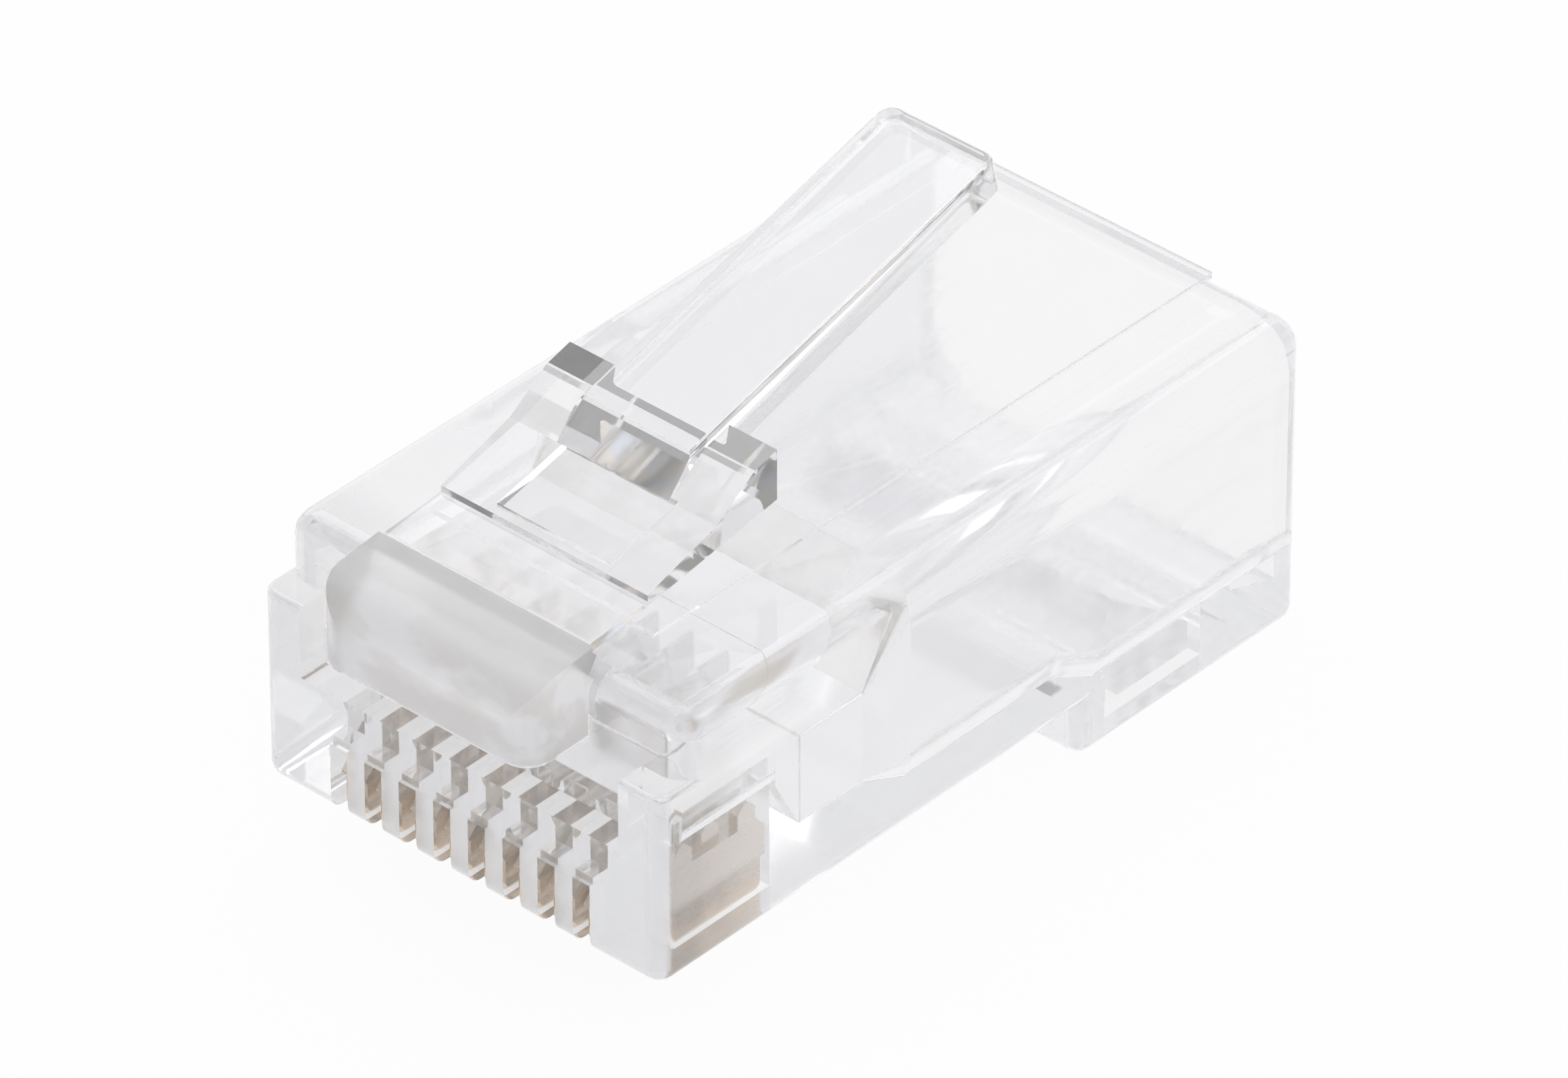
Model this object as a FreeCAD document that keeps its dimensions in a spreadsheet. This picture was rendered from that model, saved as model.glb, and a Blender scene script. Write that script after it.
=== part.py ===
"""Uncrimped 8-position, 8-contact modular plug, in millimetres.

X runs across the plug, Y from the nose to the cable entry and Z up, towards the latch.
While the plug is drawn, Y is 0 at the front of the nose and Z is 0 under the rear foot.
Every node is then moved so that the origin lies under the middle of the plug's length.
"""
import FreeCAD, Part
import Sketcher
import math
import os

SIZES = {
    # housing outline
    "body_width": 11.68,
    "body_length": 20.90,
    "front_height": 6.60,
    "foot_drop": 1.40,
    "foot_start": 13.55,
    "nose_depth": 0.77,
    "ear_height": 5.00,
    "ear_width": 1.19,
    "ledge_height": 3.15,
    "plateau_width": 6.40,
    "plateau_rise": 0.08,
    "plateau_start": 2.60,
    # rounded edges of the housing
    "nose_corner": 0.45,
    "body_corner": 0.65,
    "foot_corner": 0.45,
    "top_round": 0.60,
    "bottom_round": 0.40,
    "rear_round": 0.35,
    "ear_round": 0.15,
    # contact slots
    "pin_pitch": 1.016,
    "slot_width": 0.50,
    "slot_length": 4.35,
    "slot_lip": 0.25,
    "slot_mouth_height": 1.80,
    "slot_clearance": 0.05,
    # contacts
    "crimp_travel": 0.70,
    "blade_front_gap": 0.05,
    "blade_rear_gap": 0.10,
    "blade_proud": 0.05,
    "blade_height": 2.00,
    "blade_front_height": 1.27,
    "blade_corner": 0.30,
    "blade_shoulder": 0.25,
    "coin_height": 0.95,
    "coin_step": 0.04,
    "contact_edge_bevel": 0.10,
    "stagger": 0.50,
    "prong_start": 1.10,
    "prong_pitch": 1.00,
    "prong_length": 0.55,
    "prong_height": 0.60,
    "prong_point": 0.14,
    "prong_thickness": 0.26,
    # wire channels, chamber and cable cavity
    "wire_bore": 0.92,
    "wire_gap": 0.10,
    "wire_start": 1.50,
    "mouth_start": 4.45,
    "chamber_floor": 1.25,
    "chamber_start": 5.20,
    "chamber_end": 7.20,
    "chamber_side_gap": 0.12,
    "chamber_step": 0.05,
    "chamber_round": 0.10,
    "cavity_start": 8.40,
    "cavity_side_wall": 0.94,
    "cavity_roof": 0.90,
    "cavity_round": 0.90,
    "front_floor": 0.70,
    "foot_floor": 1.40,
    "floor_drop_start": 13.20,
    "floor_drop_end": 14.60,
    "ramp_gap": 0.35,
    "ramp_drop": 0.65,
    "sill_radius": 0.75,
    "sill_rise": 0.25,
    # jacket anchor and its window in the foot
    "window_start": 15.20,
    "window_length": 3.20,
    "window_width": 8.20,
    "anchor_gap": 0.30,
    "anchor_side_gap": 0.12,
    "anchor_bottom": 0.25,
    "anchor_heel": 0.55,
    "anchor_tail": 0.75,
    "anchor_ridge_run": 1.05,
    "anchor_ridge_rise": 0.90,
    "anchor_hinge_radius": 0.15,
    # hinges of the latch and the anchor
    "hinge_gap": 0.03,
    "hinge_back": 1.05,
    "hinge_rise": 0.56,
    "hinge_thickness": 0.24,
    # latch root
    "root_width": 6.24,
    "root_reach": 1.10,
    "root_bend": 1.00,
    "root_round": 0.65,
    "web_slope": 6.0,
    # latch, with its slopes in degrees
    "latch_width": 6.00,
    "wing_start": 2.76,
    "wing_step": 0.16,
    "wing_slope": 16.7,
    "wing_bottom_slope": 8.42,
    "face_start": 4.93,
    "face_run": 0.77,
    "face_slope": 48.8,
    "shoulder_start": 6.10,
    "shoulder_slope": 33.7,
    "shoulder_end": 6.85,
    "shoulder_top_slope": 15.0,
    "lock_height": 1.30,
    "tab_width": 3.25,
    "tab_slope": 15.0,
    "tab_end": 15.80,
    "tab_root_thickness": 1.10,
    "tab_tip_thickness": 0.95,
    "tab_corner": 0.40,
    "tab_round": 0.15,
    "pocket_width": 3.30,
    "pocket_start": 3.10,
    "pocket_end": 5.35,
    "pocket_depth": 0.18,
}
PIN_COUNT = 8
OVERCUT = "1"
BITE = "0.2"
ACROSS = FreeCAD.Vector(1, 0, 0)
BACK = FreeCAD.Vector(0, 1, 0)
UP = FreeCAD.Vector(0, 0, 1)

# Places that several pieces share, each worked out once from the sizes in the sheet.
TOP = "(Sizes.foot_drop + Sizes.front_height)"
EAR_TOP = "(Sizes.foot_drop + Sizes.ear_height)"
LEDGE = "(Sizes.foot_drop + Sizes.ledge_height)"
HINGE_Z = f"({TOP} + Sizes.hinge_rise)"
HINGE_RADIUS = "(Sizes.hinge_thickness / 2)"
WEB_TOP_AT_HINGE = f"({HINGE_Z} + {HINGE_RADIUS})"
FIRST_PIN = f"(-{(PIN_COUNT - 1) / 2} * Sizes.pin_pitch)"
LAST_PIN = f"({(PIN_COUNT - 1) / 2} * Sizes.pin_pitch)"
BLADE_START = "(Sizes.slot_lip + Sizes.blade_front_gap)"
BLADE_BOTTOM = "(Sizes.foot_drop - Sizes.blade_proud)"
BLADE_TOP = f"({BLADE_BOTTOM} + Sizes.blade_height)"
PRONG_TOP = f"({BLADE_TOP} + Sizes.prong_height)"
HIGH_BORE_Z = f"({PRONG_TOP} + Sizes.wire_gap + Sizes.wire_bore / 2)"
LOW_BORE_Z = f"({HIGH_BORE_Z} - Sizes.stagger)"
WIRE_ROOF = f"({HIGH_BORE_Z} + Sizes.wire_bore / 2)"
CHAMBER_FLOOR = "(Sizes.foot_drop + Sizes.chamber_floor)"
WINDOW_END = "(Sizes.window_start + Sizes.window_length)"
ANCHOR_HINGE_Z = "(Sizes.foot_floor - Sizes.anchor_hinge_radius)"


def make_sheet(doc):
    """Write the driving dimensions into the sheet, one alias a row."""
    sheet = doc.addObject("Spreadsheet::Sheet", "Sizes")
    for row, (name, value) in enumerate(SIZES.items(), start=1):
        sheet.set(f"A{row}", name)
        sheet.set(f"B{row}", str(value))
        sheet.setAlias(f"B{row}", name)
    doc.recompute()
    return sheet


def bind(item, **expressions):
    """Tie an object's properties to the sheet."""
    for name, expression in expressions.items():
        item.setExpression(name.replace("__", "."), expression)


def new_body(doc, label):
    """Start a body whose placement puts the origin under the middle of the plug."""
    body = doc.addObject("PartDesign::Body", label)
    body.Label = label
    bind(body, Placement__Base__y="(Sizes.root_reach - Sizes.body_length) / 2")
    return body


def new_sketch(body, name, role, offset=None):
    """Attach a sketch to one of the body's origin planes, moved along its normal by offset."""
    plane = [item for item in body.Origin.OriginFeatures if item.Role == role][0]
    sketch = body.newObject("Sketcher::SketchObject", name)
    sketch.AttachmentSupport = [(plane, "")]
    sketch.MapMode = "FlatFace"
    if offset:
        bind(sketch, AttachmentOffset__Base__z=offset)
    return sketch


def hold(sketch, kind, places, value, expression):
    """Add one dimension to a sketch and tie it to the sheet."""
    index = sketch.addConstraint(Sketcher.Constraint(kind, *places, value))
    sketch.setExpression(f"Constraints[{index}]", expression)


def draw_outline(sketch, corners):
    """Draw a closed outline, each corner held by its two distances from the origin."""
    count = len(corners)
    first = sketch.GeometryCount
    turns = [2 * math.pi * step / count for step in range(count)]
    seeds = [FreeCAD.Vector(math.cos(turn), math.sin(turn), 0) for turn in turns]
    for step in range(count):
        sketch.addGeometry(Part.LineSegment(seeds[step], seeds[(step + 1) % count]), False)
    for step in range(count):
        follower = first + (step + 1) % count
        sketch.addConstraint(Sketcher.Constraint("Coincident", first + step, 2, follower, 1))
    for step, (across, up) in enumerate(corners):
        hold(sketch, "DistanceX", (-1, 1, first + step, 1), seeds[step].x, across)
        hold(sketch, "DistanceY", (-1, 1, first + step, 1), seeds[step].y, up)


def draw_circle(sketch, across, up, radius):
    """Draw a circle held by its centre and radius."""
    first = sketch.GeometryCount
    sketch.addGeometry(Part.Circle(FreeCAD.Vector(first, 1, 0), FreeCAD.Vector(0, 0, 1), 0.5), False)
    hold(sketch, "DistanceX", (-1, 1, first, 3), float(first), across)
    hold(sketch, "DistanceY", (-1, 1, first, 3), 1.0, up)
    hold(sketch, "Radius", (first,), 0.5, radius)


def draw_channel(sketch, across, up, top, radius):
    """Draw a channel with a round bottom and a flat top."""
    first = sketch.GeometryCount
    middle, reach = float(first), 0.5
    left, right, ceiling = middle - reach, middle + reach, 2.0
    circle = Part.Circle(FreeCAD.Vector(middle, 1, 0), UP, reach)
    sketch.addGeometry(Part.ArcOfCircle(circle, math.pi, 2 * math.pi), False)
    corners = [FreeCAD.Vector(*point, 0) for point in
               ((right, 1), (right, ceiling), (left, ceiling), (left, 1))]
    for start, end in zip(corners, corners[1:]):
        sketch.addGeometry(Part.LineSegment(start, end), False)
    for edge, kind in enumerate(("Tangent", "Coincident", "Coincident", "Tangent")):
        sketch.addConstraint(Sketcher.Constraint(kind, first + edge, 2, first + (edge + 1) % 4, 1))
    for edge, kind in ((1, "Vertical"), (2, "Horizontal"), (3, "Vertical")):
        sketch.addConstraint(Sketcher.Constraint(kind, first + edge))
    hold(sketch, "DistanceX", (-1, 1, first, 3), middle, across)
    hold(sketch, "DistanceY", (-1, 1, first, 3), 1.0, up)
    hold(sketch, "Radius", (first,), reach, radius)
    hold(sketch, "DistanceY", (-1, 1, first + 2, 1), ceiling, top)


def draw_rounded_rectangle(sketch, half_width, low, high, radius):
    """Draw a rectangle with round corners, centred across the plug."""
    half, reach, corner = 3.0, 2.0, 0.5
    up = FreeCAD.Vector(0, 0, 1)
    inner_x, inner_y = half - corner, reach - corner
    sides = [((-inner_x, -reach), (inner_x, -reach)), ((half, -inner_y), (half, inner_y)),
             ((inner_x, reach), (-inner_x, reach)), ((-half, inner_y), (-half, -inner_y))]
    centres = [(inner_x, -inner_y), (inner_x, inner_y), (-inner_x, inner_y), (-inner_x, -inner_y)]
    for turn, (side, centre) in enumerate(zip(sides, centres)):
        start, end = (FreeCAD.Vector(*point, 0) for point in side)
        sketch.addGeometry(Part.LineSegment(start, end), False)
        circle = Part.Circle(FreeCAD.Vector(*centre, 0), up, corner)
        angle = (turn - 1) * math.pi / 2
        sketch.addGeometry(Part.ArcOfCircle(circle, angle, angle + math.pi / 2), False)
    for edge in range(8):
        sketch.addConstraint(Sketcher.Constraint("Tangent", edge, 2, (edge + 1) % 8, 1))
    for edge, kind in ((0, "Horizontal"), (2, "Vertical"), (4, "Horizontal"), (6, "Vertical")):
        sketch.addConstraint(Sketcher.Constraint(kind, edge))
    for arc in (3, 5, 7):
        sketch.addConstraint(Sketcher.Constraint("Equal", 1, arc))
    hold(sketch, "Radius", (1,), corner, radius)
    hold(sketch, "DistanceX", (-1, 1, 2, 1), half, half_width)
    hold(sketch, "DistanceX", (6, 1, -1, 1), half, half_width)
    hold(sketch, "DistanceY", (-1, 1, 0, 1), -reach, low)
    hold(sketch, "DistanceY", (-1, 1, 4, 1), reach, high)


def extrude(body, kind, name, sketch, length, both_ways=True, reverse=False):
    """Pad or pocket a sketch, evenly to both sides of its plane or to one side."""
    feature = body.newObject(f"PartDesign::{kind}", name)
    feature.Profile = sketch
    feature.SideType = "Symmetric" if both_ways else "One side"
    feature.Reversed = reverse
    bind(feature, Length=length)
    return feature


def side_feature(body, kind, name, corners, length, offset=None):
    """Pad or pocket an outline seen from the side, evenly across its plane."""
    sketch = new_sketch(body, f"{name}_outline", "YZ_Plane", offset)
    draw_outline(sketch, corners)
    return extrude(body, kind, name, sketch, length)


def side_barrel(body, kind, name, across, up, radius, length):
    """Pad or pocket a round bar that runs across the plug."""
    sketch = new_sketch(body, f"{name}_circle", "YZ_Plane")
    draw_circle(sketch, across, up, radius)
    return extrude(body, kind, name, sketch, length)


def row_of(body, name, feature, count, length):
    """Repeat a feature along X."""
    pattern = body.newObject("PartDesign::LinearPattern", name)
    pattern.Originals = [feature]
    axis = [item for item in body.Origin.OriginFeatures if item.Role == "X_Axis"][0]
    pattern.Direction = (axis, [""])
    pattern.Occurrences = count
    bind(pattern, Length=length)
    body.Tip = pattern
    return pattern


def soften_edges(doc, body, kind, name, size, along, chosen):
    """Fillet or chamfer the straight edges along one axis whose two ends both pass the test."""
    doc.recompute()
    base = body.Tip
    names = []
    for index, edge in enumerate(base.Shape.Edges, start=1):
        if not isinstance(edge.Curve, Part.Line) or len(edge.Vertexes) != 2:
            continue
        start, end = (vertex.Point for vertex in edge.Vertexes)
        if near(abs((end - start).normalize().dot(along)), 1) and chosen(start) and chosen(end):
            names.append(f"Edge{index}")
    feature = body.newObject(f"PartDesign::{kind}", name)
    feature.Base = (base, names)
    bind(feature, **{{"Fillet": "Radius", "Chamfer": "Size"}[kind]: size})
    return feature


def round_edges(doc, body, name, radius, along, chosen):
    """Round the straight edges along one axis whose two ends both pass the test."""
    return soften_edges(doc, body, "Fillet", name, radius, along, chosen)


def near(value, target):
    """Tell whether two lengths are the same, within a hair."""
    return abs(value - target) < 1e-4


def make_block(doc, body, size):
    """Draw the outer block from the side and round its long edges."""
    half = size["body_width"] / 2
    floor = size["foot_drop"]
    top = floor + size["front_height"]
    side_feature(body, "Pad", "block", [
        ("0", "Sizes.foot_drop"), ("Sizes.foot_start", "Sizes.foot_drop"), ("Sizes.foot_start", "0"),
        ("Sizes.body_length", "0"), ("Sizes.body_length", TOP), ("Sizes.nose_depth", TOP),
        ("Sizes.nose_depth", EAR_TOP), ("0", EAR_TOP)], "Sizes.body_width")
    round_edges(doc, body, "nose_corners", "Sizes.nose_corner", UP,
                lambda p: near(p.y, 0) and near(abs(p.x), half))
    round_edges(doc, body, "body_corners", "Sizes.body_corner", UP,
                lambda p: near(p.y, size["nose_depth"]) and near(abs(p.x), half))
    round_edges(doc, body, "foot_corners", "Sizes.foot_corner", UP,
                lambda p: near(p.y, size["foot_start"]) and near(abs(p.x), half))
    round_edges(doc, body, "top_edges", "Sizes.top_round", BACK,
                lambda p: near(p.z, top) and near(abs(p.x), half))
    round_edges(doc, body, "front_bottom_edges", "Sizes.bottom_round", BACK,
                lambda p: near(p.z, floor) and near(abs(p.x), half) and p.y < size["foot_start"] + 1)
    round_edges(doc, body, "foot_bottom_edges", "Sizes.bottom_round", BACK,
                lambda p: near(p.z, 0) and near(abs(p.x), half))
    round_edges(doc, body, "rear_bottom_edge", "Sizes.rear_round", ACROSS,
                lambda p: near(p.z, 0) and near(p.y, size["body_length"]))


def make_top_and_nose(doc, body, size):
    """Raise the flat strip on top and lower the nose between its two ears."""
    side_feature(body, "Pad", "plateau", [
        ("Sizes.plateau_start", f"{TOP} - Sizes.plateau_rise"),
        ("Sizes.body_length", f"{TOP} - Sizes.plateau_rise"),
        ("Sizes.body_length", f"{TOP} + Sizes.plateau_rise"),
        ("Sizes.plateau_start + 2 * Sizes.plateau_rise", f"{TOP} + Sizes.plateau_rise")],
        "Sizes.plateau_width")
    side_feature(body, "Pocket", "ledge", [
        (f"-{OVERCUT}", LEDGE), ("Sizes.nose_depth", LEDGE), ("Sizes.nose_depth", f"{TOP} + {OVERCUT}"),
        (f"-{OVERCUT}", f"{TOP} + {OVERCUT}")], "Sizes.body_width - 2 * Sizes.ear_width")
    ear_top = size["foot_drop"] + size["ear_height"]
    round_edges(doc, body, "ear_edges", "Sizes.ear_round", ACROSS,
                lambda p: near(p.z, ear_top) and near(p.y, 0))


def draw_corner_waste(sketch, side, half_width, front, radius):
    """Draw what lies outside one round front corner, seen from above; side is 1 or -1."""
    inner, turn, reach = (3.0 - 0.5) * side, -0.5, 4.0 * side
    seeds = [FreeCAD.Vector(reach, -2, 0), FreeCAD.Vector(reach, turn, 0),
             FreeCAD.Vector(3.0 * side, turn, 0), FreeCAD.Vector(inner, -1, 0),
             FreeCAD.Vector(inner, -2, 0)]
    first = sketch.GeometryCount
    for start, end in ((0, 1), (1, 2), (3, 4), (4, 0)):
        sketch.addGeometry(Part.LineSegment(seeds[start], seeds[end]), False)
    begin = -math.pi / 2 if side > 0 else math.pi
    circle = Part.Circle(FreeCAD.Vector(inner, turn, 0), UP, 0.5)
    sketch.addGeometry(Part.ArcOfCircle(circle, begin, begin + math.pi / 2), False)
    arc = first + 4
    side_end, front_end = (2, 1) if side > 0 else (1, 2)
    joints = ((first, 2, first + 1, 1), (first + 1, 2, arc, side_end),
              (arc, front_end, first + 2, 1), (first + 2, 2, first + 3, 1), (first + 3, 2, first, 1))
    for joint in joints:
        sketch.addConstraint(Sketcher.Constraint("Coincident", *joint))
    far = f"{side} * ({half_width} + {OVERCUT})"
    near_x = f"{side} * ({half_width} - {radius})"
    ahead, behind = f"{front} - {OVERCUT}", f"{front} + {radius}"
    places = [(first, 1, far, ahead), (first, 2, far, behind),
              (first + 1, 2, f"{side} * {half_width}", behind),
              (first + 2, 1, near_x, front), (first + 2, 2, near_x, ahead)]
    for seed, (edge, end, across, back) in zip(seeds, places):
        hold(sketch, "DistanceX", (-1, 1, edge, end), seed.x, across)
        hold(sketch, "DistanceY", (-1, 1, edge, end), seed.y, back)
    hold(sketch, "Radius", (arc,), 0.5, radius)


def make_root(doc, body, size):
    """Raise the block that the latch springs from, and hollow its end round the hinge."""
    front = "-Sizes.root_reach"
    bend_z = f"{WEB_TOP_AT_HINGE} - (Sizes.hinge_back + Sizes.root_reach) * tan(Sizes.web_slope)"
    side_feature(body, "Pad", "root", [
        (front, EAR_TOP), (f"Sizes.nose_depth + {BITE}", EAR_TOP),
        (f"Sizes.nose_depth + {BITE}", f"{TOP} - {BITE}"), ("Sizes.nose_depth", TOP),
        ("Sizes.hinge_back", f"{HINGE_Z} - {HINGE_RADIUS}"), ("Sizes.hinge_back", WEB_TOP_AT_HINGE),
        (front, bend_z)], "Sizes.root_width")
    ear_top = size["foot_drop"] + size["ear_height"]
    round_edges(doc, body, "root_bend", "Sizes.root_bend", ACROSS,
                lambda p: near(p.y, -size["root_reach"]) and p.z > ear_top + 1)
    corners = new_sketch(body, "root_corner_outlines", "XY_Plane")
    for side in (1, -1):
        draw_corner_waste(corners, side, "(Sizes.root_width / 2)", front, "Sizes.root_round")
    extrude(body, "Pocket", "root_corners", corners, "4 * Sizes.body_width")
    side_barrel(body, "Pocket", "latch_hinge_seat", "Sizes.hinge_back", HINGE_Z,
                f"{HINGE_RADIUS} + Sizes.hinge_gap", "Sizes.root_width + 1")


def make_slots(body):
    """Cut the row of contact slots, open to the front and the underside."""
    front_ceiling = (f"{BLADE_BOTTOM} + Sizes.blade_front_height + Sizes.crimp_travel"
                     " + Sizes.slot_clearance")
    rear_ceiling = f"{PRONG_TOP} + Sizes.crimp_travel + Sizes.slot_clearance"
    step = f"{BLADE_START} + Sizes.prong_start - Sizes.slot_clearance"
    mouth = "Sizes.foot_drop + Sizes.slot_mouth_height"
    slot = side_feature(body, "Pocket", "slot", [
        (f"-{OVERCUT}", "0"), ("Sizes.slot_length", "0"), ("Sizes.slot_length", rear_ceiling),
        (step, rear_ceiling), (step, front_ceiling), ("Sizes.slot_lip", front_ceiling),
        ("Sizes.slot_lip", mouth), (f"-{OVERCUT}", mouth)], "Sizes.slot_width", FIRST_PIN)
    row_of(body, "slots", slot, PIN_COUNT, f"{PIN_COUNT - 1} * Sizes.pin_pitch")


def make_wire_channels(body):
    """Cut the two staggered rows of wire channels, the gap over them and their sloping mouths."""
    side_feature(body, "Pocket", "wire_roof", [
        ("Sizes.wire_start", HIGH_BORE_Z), (f"Sizes.chamber_start + {BITE}", HIGH_BORE_Z),
        (f"Sizes.chamber_start + {BITE}", WIRE_ROOF), ("Sizes.wire_start", WIRE_ROOF)],
        f"2 * {LAST_PIN} + Sizes.wire_bore")
    rows = (("low", FIRST_PIN, LOW_BORE_Z), ("high", f"{FIRST_PIN} + Sizes.pin_pitch", HIGH_BORE_Z))
    span = f"{PIN_COUNT - 2} * Sizes.pin_pitch"
    for row, first, height in rows:
        sketch = new_sketch(body, f"{row}_channel_outline", "XZ_Plane", "-(Sizes.wire_start)")
        draw_channel(sketch, first, height, f"{HIGH_BORE_Z} + {BITE}", "Sizes.wire_bore / 2")
        length = f"Sizes.chamber_start + {BITE} - Sizes.wire_start"
        channel = extrude(body, "Pocket", f"{row}_channel", sketch, length, both_ways=False)
        row_of(body, f"{row}_channels", channel, PIN_COUNT // 2, span)
        mouth = side_feature(body, "Pocket", f"{row}_mouth", [
            ("Sizes.mouth_start", f"{height} - Sizes.wire_bore / 2"),
            ("Sizes.chamber_start", CHAMBER_FLOOR), (f"Sizes.chamber_start + {BITE}", CHAMBER_FLOOR),
            (f"Sizes.chamber_start + {BITE}", HIGH_BORE_Z), ("Sizes.mouth_start", HIGH_BORE_Z)],
            "Sizes.wire_bore", first)
        row_of(body, f"{row}_mouths", mouth, PIN_COUNT // 2, span)


def make_cavity(doc, body):
    """Hollow the wire chamber and the widening cable cavity in one run of sections."""
    chamber = (f"{LAST_PIN} + Sizes.wire_bore / 2 + Sizes.chamber_side_gap",
               CHAMBER_FLOOR, f"{WIRE_ROOF} + Sizes.chamber_step", "Sizes.chamber_round")
    sides = "Sizes.body_width / 2 - Sizes.cavity_side_wall"
    roof = f"{TOP} - Sizes.cavity_roof"
    front = (sides, "Sizes.foot_drop + Sizes.front_floor", roof, "Sizes.cavity_round")
    foot = (sides, "Sizes.foot_floor", roof, "Sizes.cavity_round")
    stations = [("Sizes.chamber_start", chamber), ("Sizes.chamber_end", chamber),
                ("Sizes.cavity_start", front), ("Sizes.floor_drop_start", front),
                ("Sizes.floor_drop_end", foot), (f"Sizes.body_length + {OVERCUT}", foot)]
    sketches = []
    for number, (place, section) in enumerate(stations, start=1):
        sketch = new_sketch(body, f"cavity_section_{number}", "XZ_Plane", f"-({place})")
        draw_rounded_rectangle(sketch, *section)
        sketches.append(sketch)
    doc.recompute()
    cavity = body.newObject("PartDesign::SubtractiveLoft", "cavity")
    cavity.Profile = sketches[0]
    cavity.Sections = sketches[1:]
    cavity.Ruled = True


def make_foot_openings(body):
    """Slope the cable entry's floor behind a round sill and cut the window of the jacket anchor."""
    ramp_start = f"{WINDOW_END} + Sizes.ramp_gap"
    side_feature(body, "Pocket", "entry_ramp", [
        (ramp_start, "Sizes.foot_floor"), ("Sizes.body_length", "Sizes.foot_floor - Sizes.ramp_drop"),
        (f"Sizes.body_length + {OVERCUT}", "Sizes.foot_floor - Sizes.ramp_drop"),
        (f"Sizes.body_length + {OVERCUT}", f"Sizes.foot_floor + {BITE}"),
        (ramp_start, f"Sizes.foot_floor + {BITE}")], "Sizes.window_width")
    side_barrel(body, "Pad", "entry_sill", ramp_start,
                "Sizes.foot_floor + Sizes.sill_rise - Sizes.sill_radius", "Sizes.sill_radius",
                f"Sizes.body_width - 2 * Sizes.cavity_side_wall + {BITE}")
    side_feature(body, "Pocket", "anchor_window", [
        ("Sizes.window_start", f"-{OVERCUT}"), (WINDOW_END, f"-{OVERCUT}"),
        (WINDOW_END, f"Sizes.foot_floor + {OVERCUT}"),
        ("Sizes.window_start", f"Sizes.foot_floor + {OVERCUT}")], "Sizes.window_width")
    side_barrel(body, "Pocket", "anchor_hinge_seat", "Sizes.window_start", ANCHOR_HINGE_Z,
                "Sizes.anchor_hinge_radius + Sizes.hinge_gap", "Sizes.window_width")


def make_housing(doc, sheet):
    """Build the clear moulding."""
    body = new_body(doc, "housing")
    size = {name: sheet.get(name) for name in SIZES}
    make_block(doc, body, size)
    make_top_and_nose(doc, body, size)
    make_root(doc, body, size)
    make_slots(body)
    make_wire_channels(body)
    make_cavity(doc, body)
    make_foot_openings(body)
    return body


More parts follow.
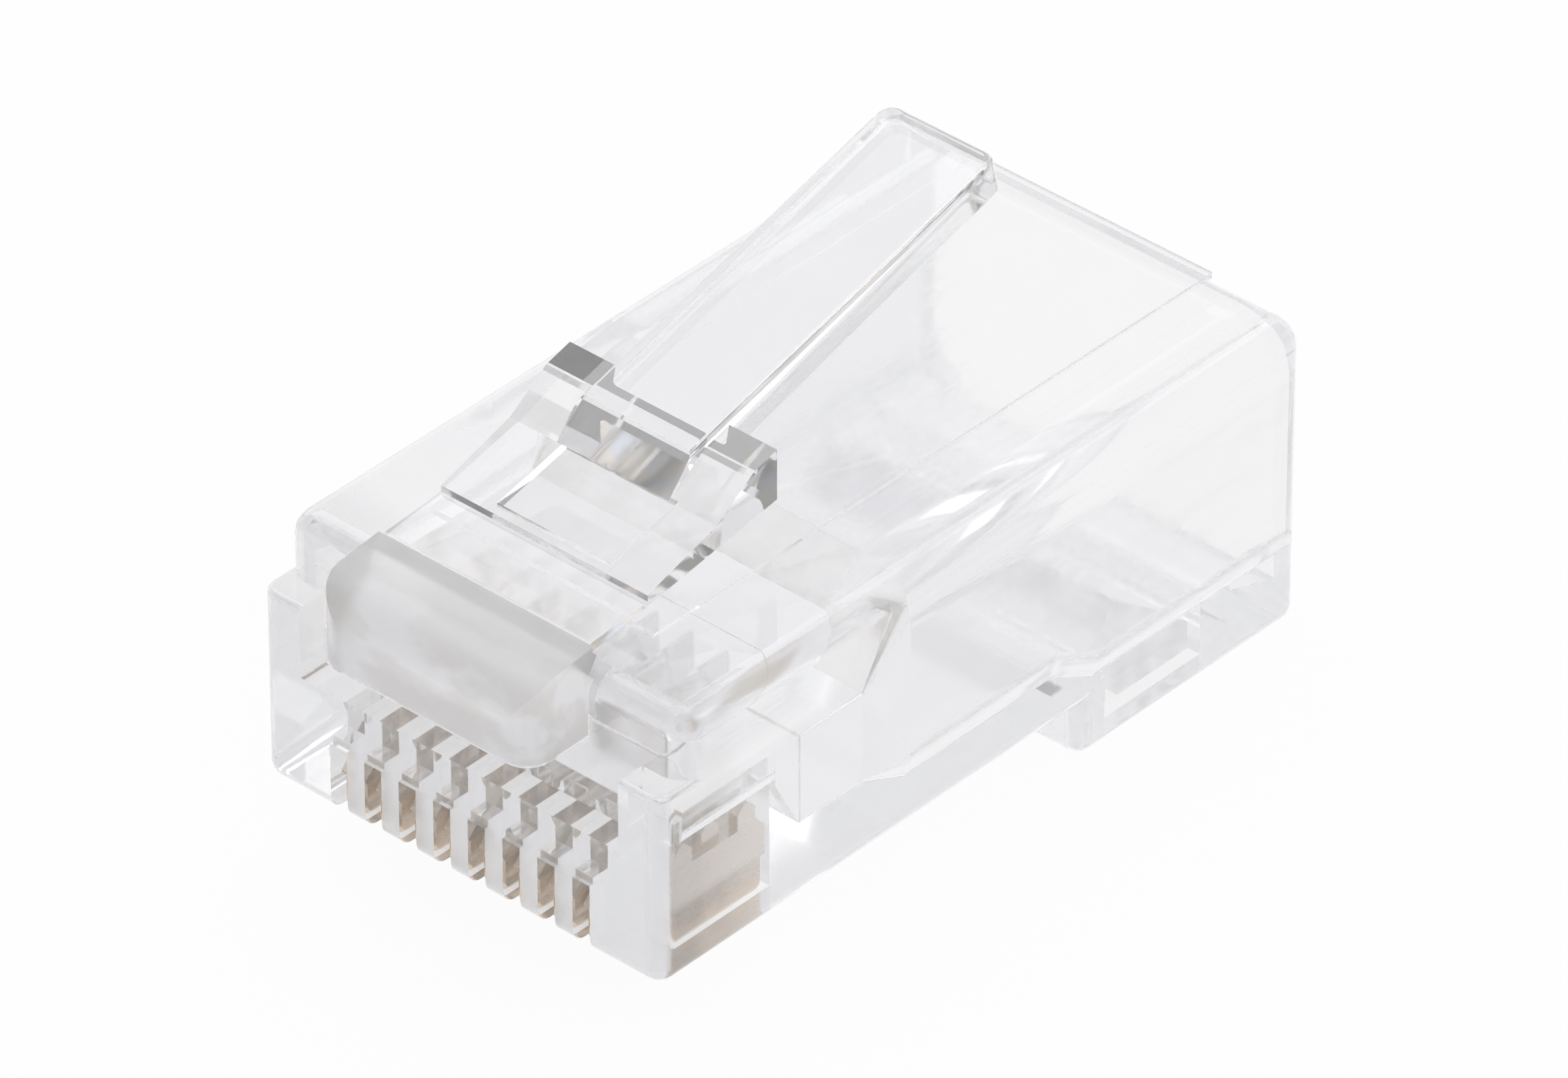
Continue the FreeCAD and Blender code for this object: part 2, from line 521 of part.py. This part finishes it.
def make_latch(doc, sheet):
    """Build the springing arm: web, wings with their locking shoulders, and thumb tab."""
    body = new_body(doc, "latch")
    size = {name: sheet.get(name) for name in SIZES}
    lock_bottom = (f"({HINGE_Z} - {HINGE_RADIUS}"
                   " + (Sizes.shoulder_end - Sizes.hinge_back) * tan(Sizes.wing_bottom_slope))")
    shoulder_top = f"({lock_bottom} + Sizes.lock_height)"
    shoulder_front = (f"({shoulder_top} - (Sizes.shoulder_end - Sizes.shoulder_start)"
                      " * tan(Sizes.shoulder_top_slope))")
    face_foot = (f"({shoulder_front} - (Sizes.shoulder_start - Sizes.face_start)"
                 " * tan(Sizes.shoulder_slope))")
    wing_front = f"({face_foot} - (Sizes.face_start - Sizes.wing_start) * tan(Sizes.wing_slope))"
    side_feature(body, "Pad", "wings", [
        ("Sizes.hinge_back", f"{HINGE_Z} - {HINGE_RADIUS}"), ("Sizes.shoulder_end", lock_bottom),
        ("Sizes.shoulder_end", shoulder_top), ("Sizes.shoulder_start", shoulder_front),
        ("Sizes.face_start", face_foot), ("Sizes.wing_start", wing_front),
        ("Sizes.wing_start", f"{wing_front} - Sizes.wing_step"), ("Sizes.hinge_back", WEB_TOP_AT_HINGE)],
        "Sizes.latch_width")
    face_top_y = "(Sizes.face_start + Sizes.face_run)"
    face_top_z = f"({face_foot} + Sizes.face_run * tan(Sizes.face_slope))"
    tip_y = "(Sizes.tab_end - Sizes.tab_tip_thickness * sin(Sizes.tab_slope))"
    tip_z = f"({face_top_z} + ({tip_y} - {face_top_y}) * tan(Sizes.tab_slope))"
    root_y = f"(Sizes.shoulder_end - {BITE})"
    root_z = (f"({face_top_z} + ({root_y} - {face_top_y}) * tan(Sizes.tab_slope)"
              " - Sizes.tab_root_thickness / cos(Sizes.tab_slope))")
    side_feature(body, "Pad", "tab", [
        ("Sizes.face_start", face_foot), (root_y, root_z),
        ("Sizes.tab_end", f"{tip_z} - Sizes.tab_tip_thickness * cos(Sizes.tab_slope)"),
        (tip_y, tip_z), (face_top_y, face_top_z)], "Sizes.tab_width")
    side_barrel(body, "Pad", "hinge", "Sizes.hinge_back", HINGE_Z, HINGE_RADIUS, "Sizes.latch_width")
    pocket_floor = (f"{HINGE_Z} - {HINGE_RADIUS} + Sizes.pocket_depth"
                    " + ({place} - Sizes.hinge_back) * tan(Sizes.wing_bottom_slope)")
    side_feature(body, "Pocket", "underside_pocket", [
        ("Sizes.pocket_start", TOP), ("Sizes.pocket_end", TOP),
        ("Sizes.pocket_end", pocket_floor.format(place="Sizes.pocket_end")),
        ("Sizes.pocket_start", pocket_floor.format(place="Sizes.pocket_start"))], "Sizes.pocket_width")
    half = size["tab_width"] / 2
    tip_side = FreeCAD.Vector(0, math.sin(math.radians(size["tab_slope"])),
                              -math.cos(math.radians(size["tab_slope"])))
    round_edges(doc, body, "tab_corners", "Sizes.tab_corner", tip_side,
                lambda p: near(abs(p.x), half) and p.y > size["tab_end"] - size["tab_tip_thickness"])
    round_edges(doc, body, "tab_edges", "Sizes.tab_round", ACROSS,
                lambda p: p.y > size["tab_end"] - size["tab_tip_thickness"])
    return body


def make_anchor(doc):
    """Build the bar that swings up to grip the cable jacket."""
    body = new_body(doc, "jacket_anchor")
    tail_y = f"{WINDOW_END} - Sizes.anchor_gap"
    side_feature(body, "Pad", "bar", [
        ("Sizes.window_start", f"{ANCHOR_HINGE_Z} - Sizes.anchor_hinge_radius"),
        ("Sizes.window_start + Sizes.anchor_heel", "Sizes.anchor_bottom"), (tail_y, "Sizes.anchor_bottom"),
        (tail_y, "Sizes.anchor_bottom + Sizes.anchor_tail"),
        ("Sizes.window_start + Sizes.anchor_ridge_run", "Sizes.foot_floor + Sizes.anchor_ridge_rise"),
        ("Sizes.window_start", f"{ANCHOR_HINGE_Z} + Sizes.anchor_hinge_radius")],
        "Sizes.window_width - 2 * Sizes.anchor_side_gap")
    side_barrel(body, "Pad", "hinge", "Sizes.window_start", ANCHOR_HINGE_Z, "Sizes.anchor_hinge_radius",
                "Sizes.window_width - 2 * Sizes.anchor_side_gap")
    return body


def prong_outline(number, base, top):
    """Give the outline of one pointed prong, counted from the front."""
    start = f"({BLADE_START} + Sizes.prong_start + {number} * Sizes.prong_pitch)"
    middle = f"({start} + Sizes.prong_length / 2)"
    point = "Sizes.prong_point / 2"
    bevel = f"{top} - (Sizes.prong_length - Sizes.prong_point) / 2"
    return [(start, base), (f"{start} + Sizes.prong_length", base),
            (f"{start} + Sizes.prong_length", bevel), (f"{middle} + {point}", top),
            (f"{middle} - {point}", top), (start, bevel)]


def make_contact(doc, sheet, pin):
    """Build one stamped blade; the even ones are taller by the stagger of the wire channels."""
    body = new_body(doc, f"contact_{pin}")
    bind(body, Placement__Base__x=f"{FIRST_PIN} + {pin - 1} * Sizes.pin_pitch")
    size = {name: sheet.get(name) for name in SIZES}
    shorter = "0" if pin % 2 == 0 else "Sizes.stagger"
    shoulder = f"({BLADE_TOP} - {shorter})"
    prong_top = f"({PRONG_TOP} - {shorter})"
    start, end = BLADE_START, "(Sizes.slot_length - Sizes.blade_rear_gap)"
    coin = f"{BLADE_BOTTOM} + Sizes.coin_height"
    prongs_end = f"{start} + Sizes.prong_start + 2 * Sizes.prong_pitch + Sizes.prong_length"
    front_top = f"{BLADE_BOTTOM} + Sizes.blade_front_height"
    thickness = "Sizes.slot_width - 2 * Sizes.slot_clearance"
    side_feature(body, "Pad", "edge", [
        (start, BLADE_BOTTOM), (end, BLADE_BOTTOM), (end, coin), (start, coin)],
        f"{thickness} - 2 * Sizes.coin_step")
    side_feature(body, "Pad", "blade", [
        (start, coin), (end, coin), (end, f"{shoulder} - Sizes.blade_shoulder"), (prongs_end, shoulder),
        (f"{start} + Sizes.prong_start", shoulder), (f"{start} + Sizes.prong_start", front_top),
        (f"{start} + Sizes.blade_shoulder", front_top),
        (start, f"{front_top} - Sizes.blade_shoulder")], thickness)
    lean = f"({thickness} - Sizes.prong_thickness) / 2"
    for name, numbers, offset in (("outer_prongs", (0, 2), lean), ("middle_prong", (1,), f"-({lean})")):
        sketch = new_sketch(body, f"{name}_outline", "YZ_Plane", offset)
        for number in numbers:
            draw_outline(sketch, prong_outline(number, f"{shoulder} - {BITE}", prong_top))
        extrude(body, "Pad", name, sketch, "Sizes.prong_thickness")
    bottom = size["foot_drop"] - size["blade_proud"]
    round_edges(doc, body, "front_corner", "Sizes.blade_corner", ACROSS, lambda p: near(p.z, bottom))
    soften_edges(doc, body, "Chamfer", "contact_edge", "Sizes.contact_edge_bevel", BACK,
                 lambda p: near(p.z, bottom))
    return body


def check(doc, bodies):
    """Stop if any object failed or any piece isn't one sound solid."""
    failed = [item.Name for item in doc.Objects if {"Invalid", "Error"} & set(item.State)]
    unsound = [body.Label for body in bodies
               if body.Shape.isNull() or not body.Shape.isValid() or len(body.Shape.Solids) != 1]
    if failed or unsound:
        raise RuntimeError(f"failed objects {failed}, unsound pieces {unsound}")


def main():
    """Build every piece and write one STEP file a piece."""
    os.makedirs("parts", exist_ok=True)
    doc = FreeCAD.newDocument("modular_plug")
    sheet = make_sheet(doc)
    bodies = [make_housing(doc, sheet), make_latch(doc, sheet), make_anchor(doc)]
    bodies += [make_contact(doc, sheet, pin) for pin in range(1, PIN_COUNT + 1)]
    doc.recompute()
    check(doc, bodies)
    for body in bodies:
        body.Shape.exportStep(f"parts/{body.Label}.step")


main()
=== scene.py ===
import math

import bpy
from mathutils import Matrix, Vector

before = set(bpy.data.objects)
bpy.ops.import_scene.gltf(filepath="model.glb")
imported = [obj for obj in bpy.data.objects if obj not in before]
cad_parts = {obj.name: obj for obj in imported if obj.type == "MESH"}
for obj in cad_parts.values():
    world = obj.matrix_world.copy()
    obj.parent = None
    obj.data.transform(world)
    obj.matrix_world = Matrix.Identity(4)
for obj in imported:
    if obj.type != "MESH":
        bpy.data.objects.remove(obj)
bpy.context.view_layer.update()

MM = 0.001

# Camera: azimuth and elevation in degrees, lengths in millimetres, offsets in photo pixels.
AZIMUTH, ELEVATION = 42.04, 35.72
FOCUS = Vector((0.0, 0.80, 4.0))
IMAGE_WIDTH, IMAGE_HEIGHT = 2321, 1596
FOCAL_PIXELS, PIXELS_PER_MM = 20880.0, 67.8
FOCUS_U, FOCUS_V = 1174.26, 839.59
SENSOR_WIDTH = 36.0
CLIP_START, CLIP_END = 0.01, 20

# Places on the housing, in millimetres. FAR lies outside the plug on every side.
FAR = 20
FRONT_FACE = -9.13
ROOT_BACK = -8.85
EAR_TOP = 6.40
CROWN_SIDE, CROWN_BOTTOM = 3.3, 7.0
ROOT_CREST = (8.0, 9.0)
NOSE_SHADE_BLEND = (-8.2, -7.0)
GLOW_BLEND = (-7.5, -4.0)
INNER_SPACE = ((-5.0, 5.0), (-8.7, 11.2), (0.4, 7.4))

# Clear plastic: colours, and how far it lets light through where it is polished and where it is matt.
PLASTIC_DULL, PLASTIC_PURE = (0.895, 0.895, 0.905, 1), (0.925, 0.925, 0.93, 1)
# The nose's grey is painted shade on the same clear plastic.
NOSE_SHADE_GREY = (0.80, 0.80, 0.81, 1)
ROOT_GREY, ROOT_TAN, CREST_GREY = (0.76, 0.76, 0.775, 1), (0.66, 0.64, 0.625, 1), (0.86, 0.86, 0.865, 1)
SHADOW_TINT = (0.88, 0.88, 0.9, 1)
POLISHED_CLEAR, MATT_CLEAR = 0.95, 0.64
REFRACTION = 1.585
RIPPLE, RIPPLE_DEPTH = 0.12, 0.00003

# A path that has turned more often than this inside the plastic ends in a glow of these tints.
LAST_TURN = 4.5
GLOW_COOL, GLOW_WARM = (0.98, 0.98, 1.0, 1), (1.0, 0.94, 0.87, 1)
LATCH_GLOW_WARM, LATCH_GLOW_BLUE = (1.0, 0.92, 0.80, 1), (0.86, 0.90, 1.0, 1)
BODY_GLOW = 0.84

# Gold over nickel.
GOLD_DEEP, GOLD_BRIGHT, NICKEL_PALE = (0.67, 0.44, 0.25, 1), (0.81, 0.59, 0.36, 1), (0.79, 0.73, 0.66, 1)
SIDE_PALE, SIDE_SHARE = (0.85, 0.77, 0.68, 1), 0.7
PALE_HEIGHT = (1.4, 2.6)
GRAIN, GRAIN_DEPTH = 0.03, 0.00001

# Floor: half its width and how far it lies below the plug, in metres, and how white it is seen.
FLOOR_REACH, FLOOR_GAP = 0.6, 0.00002
FLOOR_COLOUR = (0.93, 0.93, 0.93, 1)
FLOOR_GLOW = 0.94
WHITE = (1, 1, 1, 1)

# Surroundings: brightness for soft light, level at the horizon and overhead, and dark patches as
# direction, inner and outer angle, level.
WORLD_LEVEL = 0.7
HORIZON_LEVEL, OVERHEAD_LEVEL = 0.98, 0.93
DARK_PATCHES = [((0.50, -0.73, 0.42), 10, 20, 0.05), ((-0.60, -0.63, 0.48), 6, 16, 0.35)]

# Lamps: name, place and size in metres, and power in watts.
LAMPS = [("key", (-0.08, 0.06, 0.26), (0.30, 0.30), 0.21), ("fill", (0.25, -0.12, 0.15), (0.25, 0.20), 0.12)]


def make_camera():
    """Place the camera where the photo was taken from."""
    turn, lift = math.radians(AZIMUTH), math.radians(ELEVATION)
    right = Vector((math.cos(turn), math.sin(turn), 0))
    back = Vector((math.sin(turn) * math.cos(lift), -math.cos(turn) * math.cos(lift), math.sin(lift)))
    up = back.cross(right)
    distance = FOCAL_PIXELS / PIXELS_PER_MM
    shift_right = (FOCUS_U - IMAGE_WIDTH / 2) / PIXELS_PER_MM
    shift_up = (FOCUS_V - IMAGE_HEIGHT / 2) / PIXELS_PER_MM
    place = FOCUS - right * shift_right + up * shift_up + back * distance
    data = bpy.data.cameras.new("camera")
    data.lens = FOCAL_PIXELS * SENSOR_WIDTH / IMAGE_WIDTH
    data.sensor_width = SENSOR_WIDTH
    data.clip_start, data.clip_end = CLIP_START, CLIP_END
    camera = bpy.data.objects.new("camera", data)
    bpy.context.collection.objects.link(camera)
    frame_matrix = Matrix((right, up, back)).transposed().to_4x4()
    camera.matrix_world = Matrix.Translation(place * MM) @ frame_matrix
    bpy.context.scene.camera = camera


class Tree:
    """A node tree with short calls for the nodes that the materials share."""

    def __init__(self, tree):
        self.tree = tree
        self.tree.nodes.clear()

    def add(self, kind, inputs=None, **settings):
        """Add a node, set its properties and feed its inputs with values or sockets."""
        node = self.tree.nodes.new(kind)
        for name, value in settings.items():
            setattr(node, name, value)
        for name, value in (inputs or {}).items():
            if isinstance(value, bpy.types.NodeSocket):
                self.tree.links.new(value, node.inputs[name])
            else:
                node.inputs[name].default_value = value
        return node

    def finish(self, kind, socket):
        """Feed the output node with the last shader."""
        self.add(kind, {"Surface": socket})

    def math(self, operation, first, second=0.0, third=0.0):
        """Give the result of one sum."""
        return self.add("ShaderNodeMath", {0: first, 1: second, 2: third}, operation=operation).outputs[0]

    def ramp(self, value, low, high, out_low=0.0, out_high=1.0):
        """Map a value smoothly from one range to another."""
        node = self.add("ShaderNodeMapRange", {"Value": value, "From Min": low, "From Max": high,
                                               "To Min": out_low, "To Max": out_high},
                        interpolation_type="SMOOTHSTEP")
        return node.outputs["Result"]

    def place(self):
        """Give the point on the piece, in millimetres, whole and as X, Y and Z."""
        point = self.add("ShaderNodeTexCoord").outputs["Object"]
        scaled = self.add("ShaderNodeVectorMath", {0: point, "Scale": 1 / MM}, operation="SCALE")
        parts = self.add("ShaderNodeSeparateXYZ", {0: scaled.outputs[0]})
        return scaled.outputs[0], parts.outputs[0], parts.outputs[1], parts.outputs[2]

    def noise(self, point, scale, detail=2.0, stretch=None):
        """Give a cloudy value, drawn out where the stretch is below 1."""
        if stretch:
            point = self.add("ShaderNodeVectorMath", {0: point, 1: stretch},
                             operation="MULTIPLY").outputs[0]
        node = self.add("ShaderNodeTexNoise", {"Vector": point, "Scale": scale, "Detail": detail})
        return node.outputs["Fac"]

    def inside(self, x, y, z, *ranges, edge=0.02):
        """Give 1 inside a box, in millimetres, and 0 outside it, with soft edges."""
        mask = None
        for value, (low, high) in zip((x, y, z), ranges):
            above = self.ramp(value, low - edge, low + edge)
            below = self.ramp(value, high - edge, high + edge, 1, 0)
            band = self.math("MULTIPLY", above, below)
            mask = band if mask is None else self.math("MULTIPLY", mask, band)
        return mask

    def blend_value(self, factor, first, second):
        """Go from the first value to the second as the factor goes from 0 to 1."""
        return self.math("MULTIPLY_ADD", self.math("SUBTRACT", second, first), factor, first)

    def mix_colour(self, factor, first, second):
        """Go from the first colour to the second as the factor goes from 0 to 1."""
        node = self.add("ShaderNodeMix", {"Factor": factor, 6: first, 7: second}, data_type="RGBA")
        return node.outputs[2]

    def mix_shader(self, factor, first, second):
        """Go from the first shader to the second as the factor goes from 0 to 1."""
        return self.add("ShaderNodeMixShader", {0: factor, 1: first, 2: second}).outputs[0]

    def bump(self, strength, depth, height):
        """Give the direction of a surface with small bumps."""
        return self.add("ShaderNodeBump", {"Strength": strength, "Distance": depth,
                                           "Height": height}).outputs[0]


def new_material(name):
    """Start a material with an empty tree."""
    material = bpy.data.materials.new(name)
    material.use_nodes = True
    return material, Tree(material.node_tree)


def inner_light(tree, part, point, x, y):
    """Give the brightness and tint that a path ends in after many turns inside a piece."""
    if part == "housing":
        behind = tree.ramp(y, *GLOW_BLEND)
        # Cloudy streaks of brighter and dimmer glow: painted light.
        painted_light_streaks = tree.ramp(tree.noise(point, 1.6), 0.38, 0.62, 0.38, 0.82)
        return tree.blend_value(behind, painted_light_streaks, BODY_GLOW), tree.mix_colour(behind, GLOW_WARM, GLOW_COOL)
    if part == "latch":
        # Drawn-out streaks of brighter and dimmer glow: painted light.
        painted_light_streaks = tree.ramp(tree.noise(point, 1.3, stretch=(1.0, 0.4, 1.0)), 0.40, 0.60, 0.50, 0.92)
        # The latch's glow falls to a quarter towards its left side: painted shade.
        level = tree.math("MULTIPLY", painted_light_streaks, tree.ramp(x, -1.9, -0.9, 0.25, 1.0))
        hue = tree.ramp(tree.noise(point, 2.2), 0.42, 0.58)
        return level, tree.mix_colour(hue, LATCH_GLOW_WARM, LATCH_GLOW_BLUE)
    return tree.ramp(tree.noise(point, 1.0), 0.4, 0.6, 0.72, 0.92), GLOW_COOL


def matt_root(tree, x, y, z):
    """Give 1 on the latch's root block and 0 elsewhere on the housing."""
    front = tree.inside(x, y, z, (-FAR, FAR), (-FAR, FRONT_FACE - 0.02), (EAR_TOP + 0.05, FAR))
    crown = tree.inside(x, y, z, (-CROWN_SIDE, CROWN_SIDE), (-FAR, ROOT_BACK + 0.3), (CROWN_BOTTOM, FAR))
    return tree.math("MAXIMUM", front, crown)


def make_plastic(name, part):
    """Clear polycarbonate. The housing also has a matt root, a nose greyed as painted shade and duller inner
    walls.
    """
    material, tree = new_material(name)
    point, x, y, z = tree.place()
    streak = tree.noise(point, 3.0, 3.0, (1.0, 0.12, 1.0))
    colour = tree.mix_colour(tree.noise(point, 0.25), PLASTIC_DULL, PLASTIC_PURE)
    rough = tree.ramp(streak, 0.35, 0.75, 0.03, 0.08)
    height = tree.math("MULTIPLY", streak, 0.35)
    clear_share = POLISHED_CLEAR
    if part == "housing":
        inner = tree.inside(x, y, z, *INNER_SPACE)
        rough = tree.blend_value(inner, rough, tree.ramp(streak, 0.35, 0.75, 0.10, 0.20))
        root = matt_root(tree, x, y, z)
        rough = tree.blend_value(root, rough, tree.ramp(tree.noise(point, 9.0, 4.0), 0.3, 0.7, 0.34, 0.46))
        smudge = tree.ramp(tree.noise(point, 1.1, 3.0, (0.5, 1.0, 1.0)), 0.42, 0.6)
        root_colour = tree.mix_colour(smudge, ROOT_GREY, ROOT_TAN)
        root_colour = tree.mix_colour(tree.ramp(z, *ROOT_CREST), root_colour, CREST_GREY)
        # Greyer towards the front nose: painted shade.
        colour = tree.mix_colour(tree.ramp(y, *NOSE_SHADE_BLEND), NOSE_SHADE_GREY, colour)
        colour = tree.mix_colour(root, colour, root_colour)
        height = tree.math("MULTIPLY", height, tree.ramp(root, 0, 1, 1.0, 0.3))
        clear_share = tree.ramp(root, 0, 1, POLISHED_CLEAR, MATT_CLEAR)
    shader = tree.add("ShaderNodeBsdfPrincipled", {
        "Base Color": colour, "Roughness": rough, "IOR": REFRACTION, "Transmission Weight": clear_share,
        "Normal": tree.bump(RIPPLE, RIPPLE_DEPTH, height)}).outputs[0]
    path = tree.add("ShaderNodeLightPath").outputs
    level, tint = inner_light(tree, part, point, x, y)
    glow = tree.add("ShaderNodeEmission", {"Color": tint, "Strength": level}).outputs[0]
    ended = tree.mix_shader(tree.math("GREATER_THAN", path["Ray Depth"], LAST_TURN), shader, glow)
    clear = tree.add("ShaderNodeBsdfTransparent", {"Color": SHADOW_TINT}).outputs[0]
    tree.finish("ShaderNodeOutputMaterial", tree.mix_shader(path["Is Shadow Ray"], ended, clear))
    return material


def make_gold():
    """Gold plating over nickel, paler on the stamped sides and up the blade than on its edge."""
    material, tree = new_material("gold_contacts")
    point, x, y, z = tree.place()
    drawn = tree.noise(point, 6.0, 4.0, (1.0, 0.15, 1.0))
    gold = tree.mix_colour(tree.noise(point, 1.4, 3.0), GOLD_DEEP, GOLD_BRIGHT)
    normal = tree.add("ShaderNodeTexCoord").outputs["Normal"]
    across = tree.math("ABSOLUTE", tree.add("ShaderNodeSeparateXYZ", {0: normal}).outputs[0])
    gold = tree.mix_colour(tree.ramp(across, 0.4, 0.8, 0.0, SIDE_SHARE), gold, SIDE_PALE)
    shader = tree.add("ShaderNodeBsdfPrincipled", {
        "Base Color": tree.mix_colour(tree.ramp(z, *PALE_HEIGHT), gold, NICKEL_PALE),
        "Roughness": tree.ramp(drawn, 0.3, 0.7, 0.16, 0.32), "Metallic": 1.0,
        "Normal": tree.bump(GRAIN, GRAIN_DEPTH, drawn)}).outputs[0]
    tree.finish("ShaderNodeOutputMaterial", shader)
    return material


def seen_directly(tree):
    """Tell whether a ray comes from the camera, a mirror-like surface or through the plastic."""
    path = tree.add("ShaderNodeLightPath").outputs
    either = tree.math("MAXIMUM", path["Is Camera Ray"], path["Is Glossy Ray"])
    return tree.math("MAXIMUM", either, path["Is Transmission Ray"])


def make_floor():
    """White floor that keeps a soft shadow and lets a look from below through."""
    low, high = -FLOOR_REACH, FLOOR_REACH
    mesh = bpy.data.meshes.new("floor")
    mesh.from_pydata([(low, low, 0), (high, low, 0), (high, high, 0), (low, high, 0)], [], [(0, 1, 2, 3)])
    floor = bpy.data.objects.new("floor", mesh)
    bpy.context.collection.objects.link(floor)
    floor.location.z = -FLOOR_GAP
    material, tree = new_material("floor")
    diffuse = tree.add("ShaderNodeBsdfDiffuse", {"Color": FLOOR_COLOUR}).outputs[0]
    glow = tree.add("ShaderNodeEmission", {"Color": WHITE, "Strength": 1.0}).outputs[0]
    top = tree.mix_shader(tree.math("MULTIPLY", seen_directly(tree), FLOOR_GLOW), diffuse, glow)
    below = tree.add("ShaderNodeNewGeometry").outputs["Backfacing"]
    clear = tree.add("ShaderNodeBsdfTransparent", {"Color": WHITE}).outputs[0]
    tree.finish("ShaderNodeOutputMaterial", tree.mix_shader(below, top, clear))
    mesh.materials.append(material)


def make_world():
    """Pale surroundings, a little greyer overhead and with dark patches towards the camera's side."""
    world = bpy.data.worlds.new("world")
    bpy.context.scene.world = world
    world.use_nodes = True
    tree = Tree(world.node_tree)
    direction = tree.add("ShaderNodeTexCoord").outputs["Generated"]
    height = tree.add("ShaderNodeSeparateXYZ", {0: direction}).outputs[2]
    level = tree.ramp(height, 0.1, 0.95, HORIZON_LEVEL, OVERHEAD_LEVEL)
    for towards, narrow, wide, dark in DARK_PATCHES:
        near = tree.add("ShaderNodeVectorMath", {0: direction, 1: Vector(towards).normalized()},
                        operation="DOT_PRODUCT").outputs["Value"]
        edge, core = math.cos(math.radians(wide)), math.cos(math.radians(narrow))
        level = tree.math("MULTIPLY", level, tree.ramp(near, edge, core, 1.0, dark))
    path = tree.add("ShaderNodeLightPath").outputs
    sharp = tree.math("MAXIMUM", path["Is Glossy Ray"], path["Is Transmission Ray"])
    strength = tree.math("MAXIMUM", tree.blend_value(sharp, WORLD_LEVEL, level), path["Is Camera Ray"])
    back = tree.add("ShaderNodeBackground", {"Color": WHITE, "Strength": strength}).outputs[0]
    tree.finish("ShaderNodeOutputWorld", back)


def make_lamp(name, place, size, energy):
    """Hang a soft lamp that looks at the plug."""
    data = bpy.data.lights.new(name, "AREA")
    data.shape = "RECTANGLE"
    data.size, data.size_y = size
    data.energy = energy
    lamp = bpy.data.objects.new(name, data)
    bpy.context.collection.objects.link(lamp)
    place = Vector(place)
    lamp.matrix_world = Matrix.Translation(place) @ place.to_track_quat("Z", "Y").to_matrix().to_4x4()


def dress():
    """Give every node of the model its finish."""
    gold = make_gold()
    plastic = {part: make_plastic(f"clear_{part}", part) for part in ("housing", "latch", "jacket_anchor")}
    for name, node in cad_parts.items():
        node.data.materials.clear()
        node.data.materials.append(plastic.get(name, gold))


bpy.context.scene.view_settings.view_transform = "Standard"
make_camera()
make_world()
make_floor()
for lamp in LAMPS:
    make_lamp(*lamp)
dress()
